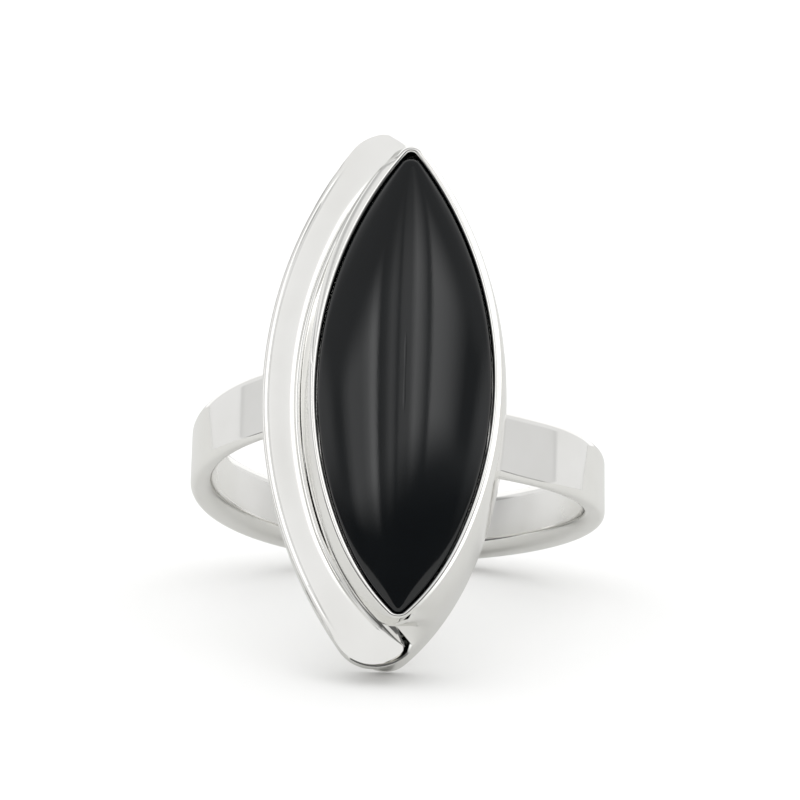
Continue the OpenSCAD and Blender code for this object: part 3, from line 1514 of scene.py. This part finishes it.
@dataclass
class Stone(Piece):
    """The long domed agate.

    Attributes:
        gap: Clearance to the bezel.
        side_h: Height of the upright side.
        dome_h: Height of the dome over it.
        low_r: Radius of the lower point.
        high_r: Radius of the upper point.
        foot_in: Width of the chamfer round the foot.
        foot_h: Height of that chamfer.
        edge_low: Height of the softened upper edge.
        edge_in: Width of that edge.
        dome_from: How far inside the outline the dome starts.
        crown_in: How much of half the width the loops up the dome leave out.
        rings: Loops up the dome.
    """

    gap: float = 0.07
    side_h: float = 2.22
    dome_h: float = 1.57
    low_r: float = 0.25
    high_r: float = 0.55
    foot_in: float = 0.2
    foot_h: float = 0.15
    edge_low: float = 0.04
    edge_in: float = 0.01
    dome_from: float = 0.03
    crown_in: float = 0.05
    rings: int = 44

    def build(self) -> Object:
        """Bridges the side's ovals and ever smaller ones up the dome, and closes the crown and the foot.

        Returns:
            The piece.
        """
        bm = bmesh.new()
        opening = self.plan.opening().grown(-self.gap)
        edge = Oval(opening.left, opening.right, self.low_r, self.high_r)
        base = self.z.seat
        top = base + self.side_h
        loops = [
            edge.grown(-self.foot_in).loop(bm, base),
            edge.loop(bm, base + self.foot_h),
            edge.loop(bm, top - self.edge_low),
            edge.grown(-self.edge_in).loop(bm, top - self.edge_in),
        ]
        half_w = self.plan.opening_w / 2 - self.gap
        for i in range(1, self.rings + 1):
            inward = self.dome_from + (half_w - self.crown_in) * i / self.rings
            loop = edge.grown(-inward).loop(bm, top)
            for v in loop_verts(loop):
                v.co.z += self._rise(v.co, edge, inward, half_w)
            loops.append(loop)
        bridge(bm, loops)
        cap(bm, loops[0])
        cap(bm, loops[-1])
        for v in bm.verts:
            v.co.y = self.plan.drawn_in(v.co.y)
        return finish_mesh(bm, "agate_cabochon", self.lie, self.finish, crease_deg=60.0)

    def _rise(self, at: Vector, edge: Oval, inward: float, half_w: float) -> float:
        """Works out how high the dome stands above its side.

        Args:
            at: A point seen from above.
            edge: The stone's outline.
            inward: The point's distance from the outline.
            half_w: Half of the stone's greatest width.

        Returns:
            The height.
        """
        least = 0.01
        across = (edge.left.depth(at) + edge.right.depth(at)) / 2
        share = min(inward / max(across, least), 1.0)
        return self.dome_h * across / half_w * (1 - (1 - share) ** 2)


@dataclass(frozen=True)
class PhotoCamera:
    """The camera, given for the upright ring with the finger hole's centre as origin, in millimetres.

    Attributes:
        azimuth_deg: How far it stands to the right of the middle.
        elevation_deg: Its angle over the finger's axis, on the stone's side.
        roll_deg: How far it is turned about its own axis.
        distance: Its distance.
        shift_right: Where the hole's centre lies in the picture, from the middle to the right.
        shift_up: The same upwards.
        lift: How much further it is moved towards the finger.
        pixels_per_mm: Scale of the picture at the hole's centre.
        image_px: Width of the picture.
        sensor: Width of the sensor.
    """

    azimuth_deg: float = 0.69
    elevation_deg: float = 71.52
    roll_deg: float = 0.32
    distance: float = 147.0
    shift_right: float = -0.11
    shift_up: float = -3.79
    lift: float = 0.65
    pixels_per_mm: float = 20.15
    image_px: float = 800.0
    sensor: float = 36.0

    def build(self, lie: Lie) -> Object:
        """Places the camera.

        Args:
            lie: How the ring lies.

        Returns:
            The scene's camera.
        """
        a, e, roll = (math.radians(d) for d in (self.azimuth_deg, self.elevation_deg, self.roll_deg))
        back = Vector((math.sin(a) * math.cos(e), -math.cos(a) * math.cos(e), math.sin(e)))
        right = Vector((math.cos(a), math.sin(a), 0.0))
        up = back.cross(right)
        right_r = right * math.cos(roll) + up * math.sin(roll)
        up_r = up * math.cos(roll) - right * math.sin(roll)
        place = back * self.distance - right_r * self.shift_right - up_r * self.shift_up
        place -= Vector((0.0, 0.0, self.lift))
        turn = Matrix((right_r, up_r, back)).transposed().to_4x4()
        data = bpy.data.cameras.new("camera")
        data.sensor_width = self.sensor
        data.lens = self.pixels_per_mm * self.distance * self.sensor / self.image_px
        data.clip_start = 0.005
        data.clip_end = 20.0
        camera = bpy.data.objects.new("camera", data)
        bpy.context.scene.collection.objects.link(camera)
        tipped = Matrix.Rotation(lie.tip, 4, "X") @ Matrix.Translation(place) @ turn
        tipped.translation *= MM
        camera.matrix_world = tipped
        bpy.context.scene.camera = camera
        return camera


@dataclass(frozen=True)
class Studio:
    """The pale floor and the soft light round the ring, as bright or dark bands and panels.

    A direction is given by how far over it lies, in degrees from the front's horizon (0) over the
    zenith (90) to the back's horizon (180), and by how far across, from the left (-1) to the right (1).

    Attributes:
        floor_half: Half of the floor's width, in metres.
        floor_seen: Colour of the floor for the camera.
        floor_mirrored: Colour of the floor for the ring.
        glow: The even light on dull surfaces.
        front_low: Brightness near the front's horizon.
        overhead: Brightness overhead.
        back: Brightness of the back.
        back_far: Brightness of the back's two sides.
        back_sides: Places across between which the back changes.
        front_to_zenith: Where the front passes into the overhead light.
        zenith_to_back: Where that passes into the back.
        panel_slant: How much further over the panels lie on the right, in degrees.
        panel_low: Where the panels start.
        panel_high: Where they end, from dark to bright.
        flank_from: Places across between which the far sides start.
        panels: Place across and brightness of the panels, with the two ends first.
        flank: How far over and brightness of the far sides, with the two ends first.
    """

    floor_half: float = 6.0
    floor_seen: Colour = (0.985, 0.985, 0.98)
    floor_mirrored: Colour = (0.68, 0.68, 0.667)
    glow: float = 1.22
    front_low: float = 0.11
    overhead: float = 0.38
    back: float = 1.08
    back_far: float = 0.82
    back_sides: Pair = (0.6, 0.7)
    front_to_zenith: Pair = (24.0, 44.0)
    zenith_to_back: Pair = (95.0, 119.0)
    panel_slant: float = 10.0
    panel_low: Pair = (26.0, 38.0)
    panel_high: Pair = (80.0, 62.0)
    flank_from: Pair = (0.87, 0.93)
    panels: tuple[Pair, ...] = (
        (-1.0, 0.3),
        (1.0, 0.3),
        (-0.89, 0.31),
        (-0.85, 0.33),
        (-0.82, 0.65),
        (-0.77, 1.0),
        (-0.66, 0.98),
        (-0.59, 1.28),
        (-0.525, 1.95),
        (-0.48, 1.7),
        (-0.43, 0.36),
        (-0.34, 0.5),
        (-0.24, 0.98),
        (-0.18, 0.8),
        (-0.135, 0.42),
        (-0.105, 0.55),
        (-0.08, 0.84),
        (-0.02, 0.87),
        (0.08, 0.87),
        (0.13, 1.3),
        (0.18, 1.7),
        (0.26, 1.3),
        (0.33, 0.8),
        (0.375, 0.42),
        (0.41, 0.55),
        (0.45, 1.6),
        (0.56, 1.4),
        (0.63, 1.2),
        (0.69, 0.95),
        (0.75, 0.6),
        (0.81, 0.25),
        (0.87, 0.24),
    )
    flank: tuple[Pair, ...] = (
        (0.0, 0.15),
        (180.0, 0.82),
        (13.0, 0.15),
        (26.0, 0.25),
        (45.0, 0.6),
        (60.0, 0.72),
        (130.0, 0.7),
        (138.0, 0.6),
        (142.0, 0.82),
    )

    def build(self, floor_z: float) -> None:
        """Builds the floor and the light.

        Args:
            floor_z: The floor's height.
        """
        self._floor(floor_z)
        self._sky()
        bpy.context.scene.view_settings.view_transform = "Standard"

    def _floor(self, floor_z: float) -> None:
        """Lays the floor.

        Args:
            floor_z: Its height.
        """
        bm = bmesh.new()
        bmesh.ops.create_grid(bm, x_segments=1, y_segments=1, size=self.floor_half)
        bmesh.ops.translate(bm, vec=(0, 0, floor_z), verts=bm.verts)
        mesh = bpy.data.meshes.new("floor")
        bm.to_mesh(mesh)
        bm.free()
        material = bpy.data.materials.new("pale_floor")
        material.use_nodes = True
        shader = material.node_tree.nodes["Principled BSDF"]
        shader.inputs["Roughness"].default_value = 0.9
        shader.inputs["Specular IOR Level"].default_value = 0.0
        t = NodeTree(material.node_tree)
        path = t.add("ShaderNodeLightPath")
        tone = t.add("ShaderNodeMix", data_type="RGBA")
        t.join(path.outputs["Is Camera Ray"], tone.inputs[0])
        t.feed(tone.inputs[6:8], ((*self.floor_mirrored, 1), (*self.floor_seen, 1)))
        t.join(tone.outputs[2], shader.inputs["Base Color"])
        mesh.materials.append(material)
        obj = bpy.data.objects.new("floor", mesh)
        bpy.context.scene.collection.objects.link(obj)
        obj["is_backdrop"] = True

    def _sky(self) -> None:
        """Lights the studio: an even glow for dull surfaces, and light panels for gloss to mirror."""
        world = bpy.data.worlds.new("studio")
        bpy.context.scene.world = world
        world.use_nodes = True
        t = NodeTree(world.node_tree)
        shader = world.node_tree.nodes["Background"]
        shader.inputs["Color"].default_value = (1, 1, 1, 1)
        place = t.add("ShaderNodeTexCoord")
        split = t.add("ShaderNodeSeparateXYZ")
        t.join(place.outputs["Generated"], split.inputs[0])
        x, y, z = split.outputs
        turned = t.math("ARCTAN2", z, t.math("MULTIPLY", y, -1.0))
        over = t.math("MULTIPLY", turned, HALF_TURN_DEG / math.pi)
        side = t.math("ABSOLUTE", x)
        gloss = self._panelled(t, x, over, self._around(t, side, over))
        stops = [(at / HALF_TURN_DEG, (level,) * 3) for at, level in self.flank]
        far = t.ramp(t.math("DIVIDE", over, HALF_TURN_DEG), stops)
        gloss = t.mix(t.span(side, self.flank_from), gloss, far)
        path = t.add("ShaderNodeLightPath")
        t.join(t.mix(path.outputs["Is Diffuse Ray"], gloss, self.glow), shader.inputs["Strength"])

    def _around(self, t: NodeTree, side: NodeSocket, over: NodeSocket) -> NodeSocket:
        """Lights the studio's front, overhead and back.

        Args:
            t: The world's nodes.
            side: How far across a direction lies, on either side.
            over: How far over it lies.

        Returns:
            The brightness.
        """
        back = t.mix(t.span(side, self.back_sides), self.back, self.back_far)
        behind = t.mix(t.span(over, self.zenith_to_back), self.overhead, back)
        return t.mix(t.span(over, self.front_to_zenith), self.front_low, behind)

    def _panelled(self, t: NodeTree, x: NodeSocket, over: NodeSocket, around: NodeSocket) -> NodeSocket:
        """Hangs the row of panels in front of the light from around.

        Args:
            t: The world's nodes.
            x: How far across a direction lies.
            over: How far over it lies.
            around: The brightness round the panels.

        Returns:
            The brightness.
        """
        stops = [(across / 2 + 0.5, (level,) * 3) for across, level in self.panels]
        panels = t.ramp(t.math("ADD", t.math("MULTIPLY", x, 0.5), 0.5), stops)
        leaning = t.math("SUBTRACT", over, t.math("MULTIPLY", x, self.panel_slant))
        shown = t.math("MULTIPLY", t.span(leaning, self.panel_low), t.span(leaning, self.panel_high))
        return t.mix(shown, around, panels)


def main(cad_box: Box) -> None:
    """Builds the ring, its studio and its camera.

    Args:
        cad_box: The frame's box.
    """
    logging.basicConfig(level=logging.INFO, format="%(name)s: %(message)s")
    lie = Lie.of_hole(frame["record"])
    plan = HeadPlan()
    heights = Heights()
    handling = Handling().build()
    silver = SilverFinish().make(handling)
    agate = AgateFinish().make(handling)
    PhotoCamera().build(lie)
    for kind in (Shank, HeadCup, Ribbon, Bezel):
        dress(kind(lie, silver, plan, heights).build(), Node.RING)
    dress(Stone(lie, agate, plan, heights).build(), Node.STONE)
    floor_z = cad_box[0][2]
    Studio().build(floor_z)


if __name__ == "__main__":
    main(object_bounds())
